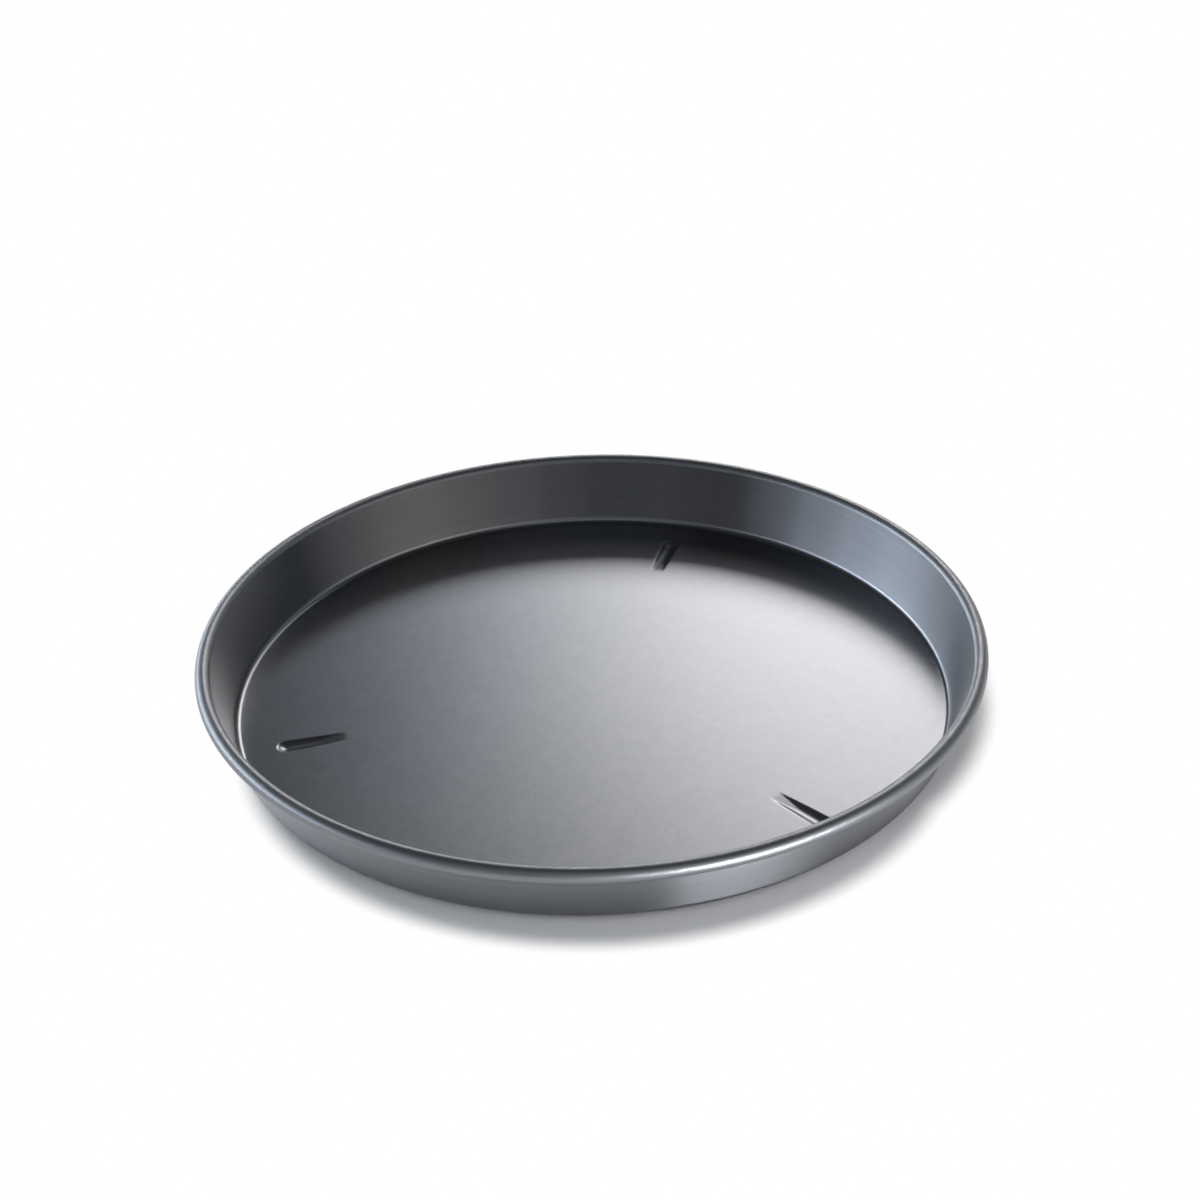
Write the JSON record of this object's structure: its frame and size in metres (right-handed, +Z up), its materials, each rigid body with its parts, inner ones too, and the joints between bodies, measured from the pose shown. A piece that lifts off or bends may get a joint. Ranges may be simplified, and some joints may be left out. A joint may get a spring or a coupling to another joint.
{
  "type": "deep dish pan",
  "caption": "Round shallow baking pan of dark anodised aluminium with a leaning wall, a rim rolled round a wire and short ribs pressed into the floor.",
  "frame": {"origin": "on the pan's axis, at the surface that it stands on", "axes": "+Z up along the pan's axis, which is also its shortest side; one rib lies 73 degrees round from +X towards +Y"},
  "size_m": [0.4226, 0.4226, 0.0412],
  "materials": {
    "anodised_sheet": "satin hard anodised, dark grey",
    "bare_wire": "drawn"
  },
  "bodies": {
    "root": {"pan_shell": "anodised_sheet", "rim_wire": "bare_wire"}
  },
  "joints": []
}
